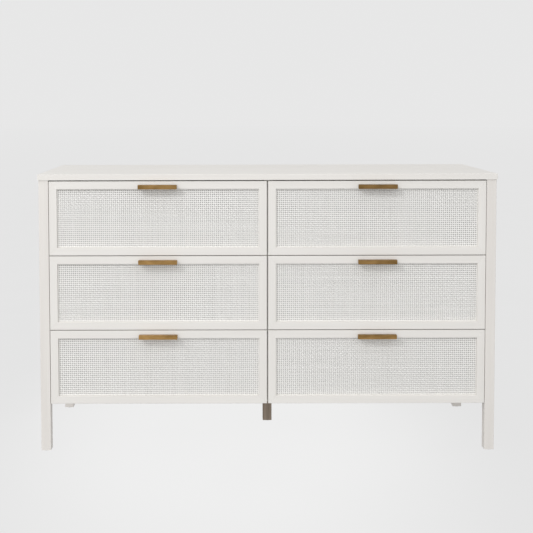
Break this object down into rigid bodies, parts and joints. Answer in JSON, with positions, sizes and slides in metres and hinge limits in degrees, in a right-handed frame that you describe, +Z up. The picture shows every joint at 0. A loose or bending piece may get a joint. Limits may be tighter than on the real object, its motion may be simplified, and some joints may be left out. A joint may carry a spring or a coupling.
{
  "type": "dresser with drawers",
  "caption": "Low wide painted dresser on square corner legs, its flush drawers faced with mitred frames round woven cane and opened by flat bar pulls.",
  "frame": {"origin": "on the floor under the middle of the bounding box", "axes": "+Z up, the drawer fronts face -Y, +X to the right of someone facing the front"},
  "size_m": [1.422, 0.476, 0.868],
  "materials": {
    "painted_wood": "warm white satin paint over fine grain",
    "painted_cane": "warm white paint over woven cane",
    "antique_brass": "satin antique brass",
    "drawer_wood": "clear-coated poplar",
    "drawer_bottom_board": "clear-coated birch plywood",
    "back_board": "white painted hardboard",
    "taupe_leg": "brown-grey stain",
    "zinc_steel": "zinc-plated, satin",
    "nylon": "matte"
  },
  "bodies": {
    "cabinet": {"top_panel": "painted_wood", "left_side_panel": "painted_wood", "right_side_panel": "painted_wood", "front_left_leg": "painted_wood", "front_right_leg": "painted_wood", "rear_left_leg": "painted_wood", "rear_right_leg": "painted_wood", "centre_partition": "painted_wood", "back_panel": "back_board", "front_bottom_rail": "painted_wood", "rear_bottom_rail": "painted_wood", "rear_top_rail": "painted_wood", "centre_stretcher": "painted_wood", "centre_leg": "taupe_leg", "floor_glides": "nylon", "assembly_screws": "zinc_steel", "wall_brackets": "zinc_steel", "case_slide_rails": "zinc_steel"},
    "top_left_drawer": {"top_left_front_frame": "painted_wood", "top_left_cane_panel": "painted_cane", "top_left_bar_pull": "antique_brass", "top_left_drawer_box": "drawer_wood", "top_left_drawer_bottom": "drawer_bottom_board", "top_left_drawer_slide_rails": "zinc_steel"},
    "top_left_slide": {"top_left_middle_slide_rails": "zinc_steel"},
    "top_right_drawer": {"top_right_front_frame": "painted_wood", "top_right_cane_panel": "painted_cane", "top_right_bar_pull": "antique_brass", "top_right_drawer_box": "drawer_wood", "top_right_drawer_bottom": "drawer_bottom_board", "top_right_drawer_slide_rails": "zinc_steel"},
    "top_right_slide": {"top_right_middle_slide_rails": "zinc_steel"},
    "middle_left_drawer": {"middle_left_front_frame": "painted_wood", "middle_left_cane_panel": "painted_cane", "middle_left_bar_pull": "antique_brass", "middle_left_drawer_box": "drawer_wood", "middle_left_drawer_bottom": "drawer_bottom_board", "middle_left_drawer_slide_rails": "zinc_steel"},
    "middle_left_slide": {"middle_left_middle_slide_rails": "zinc_steel"},
    "middle_right_drawer": {"middle_right_front_frame": "painted_wood", "middle_right_cane_panel": "painted_cane", "middle_right_bar_pull": "antique_brass", "middle_right_drawer_box": "drawer_wood", "middle_right_drawer_bottom": "drawer_bottom_board", "middle_right_drawer_slide_rails": "zinc_steel"},
    "middle_right_slide": {"middle_right_middle_slide_rails": "zinc_steel"},
    "bottom_left_drawer": {"bottom_left_front_frame": "painted_wood", "bottom_left_cane_panel": "painted_cane", "bottom_left_bar_pull": "antique_brass", "bottom_left_drawer_box": "drawer_wood", "bottom_left_drawer_bottom": "drawer_bottom_board", "bottom_left_drawer_slide_rails": "zinc_steel"},
    "bottom_left_slide": {"bottom_left_middle_slide_rails": "zinc_steel"},
    "bottom_right_drawer": {"bottom_right_front_frame": "painted_wood", "bottom_right_cane_panel": "painted_cane", "bottom_right_bar_pull": "antique_brass", "bottom_right_drawer_box": "drawer_wood", "bottom_right_drawer_bottom": "drawer_bottom_board", "bottom_right_drawer_slide_rails": "zinc_steel"},
    "bottom_right_slide": {"bottom_right_middle_slide_rails": "zinc_steel"}
  },
  "joints": [
    {"name": "top_left_drawer_slide", "type": "slide", "parent": "cabinet", "child": "top_left_drawer", "axis": [0, -1, 0], "range_m": [0, 0.38]},
    {"name": "top_left_middle_member", "type": "slide", "parent": "cabinet", "child": "top_left_slide", "axis": [0, -1, 0], "range_m": [0, 0.19]},
    {"name": "top_right_drawer_slide", "type": "slide", "parent": "cabinet", "child": "top_right_drawer", "axis": [0, -1, 0], "range_m": [0, 0.38]},
    {"name": "top_right_middle_member", "type": "slide", "parent": "cabinet", "child": "top_right_slide", "axis": [0, -1, 0], "range_m": [0, 0.19]},
    {"name": "middle_left_drawer_slide", "type": "slide", "parent": "cabinet", "child": "middle_left_drawer", "axis": [0, -1, 0], "range_m": [0, 0.38]},
    {"name": "middle_left_middle_member", "type": "slide", "parent": "cabinet", "child": "middle_left_slide", "axis": [0, -1, 0], "range_m": [0, 0.19]},
    {"name": "middle_right_drawer_slide", "type": "slide", "parent": "cabinet", "child": "middle_right_drawer", "axis": [0, -1, 0], "range_m": [0, 0.38]},
    {"name": "middle_right_middle_member", "type": "slide", "parent": "cabinet", "child": "middle_right_slide", "axis": [0, -1, 0], "range_m": [0, 0.19]},
    {"name": "bottom_left_drawer_slide", "type": "slide", "parent": "cabinet", "child": "bottom_left_drawer", "axis": [0, -1, 0], "range_m": [0, 0.38]},
    {"name": "bottom_left_middle_member", "type": "slide", "parent": "cabinet", "child": "bottom_left_slide", "axis": [0, -1, 0], "range_m": [0, 0.19]},
    {"name": "bottom_right_drawer_slide", "type": "slide", "parent": "cabinet", "child": "bottom_right_drawer", "axis": [0, -1, 0], "range_m": [0, 0.38]},
    {"name": "bottom_right_middle_member", "type": "slide", "parent": "cabinet", "child": "bottom_right_slide", "axis": [0, -1, 0], "range_m": [0, 0.19]}
  ],
  "couplings": [
    {"joint": "top_left_middle_member", "follows": "top_left_drawer_slide", "ratio": 0.5},
    {"joint": "top_right_middle_member", "follows": "top_right_drawer_slide", "ratio": 0.5},
    {"joint": "middle_left_middle_member", "follows": "middle_left_drawer_slide", "ratio": 0.5},
    {"joint": "middle_right_middle_member", "follows": "middle_right_drawer_slide", "ratio": 0.5},
    {"joint": "bottom_left_middle_member", "follows": "bottom_left_drawer_slide", "ratio": 0.5},
    {"joint": "bottom_right_middle_member", "follows": "bottom_right_drawer_slide", "ratio": 0.5}
  ]
}
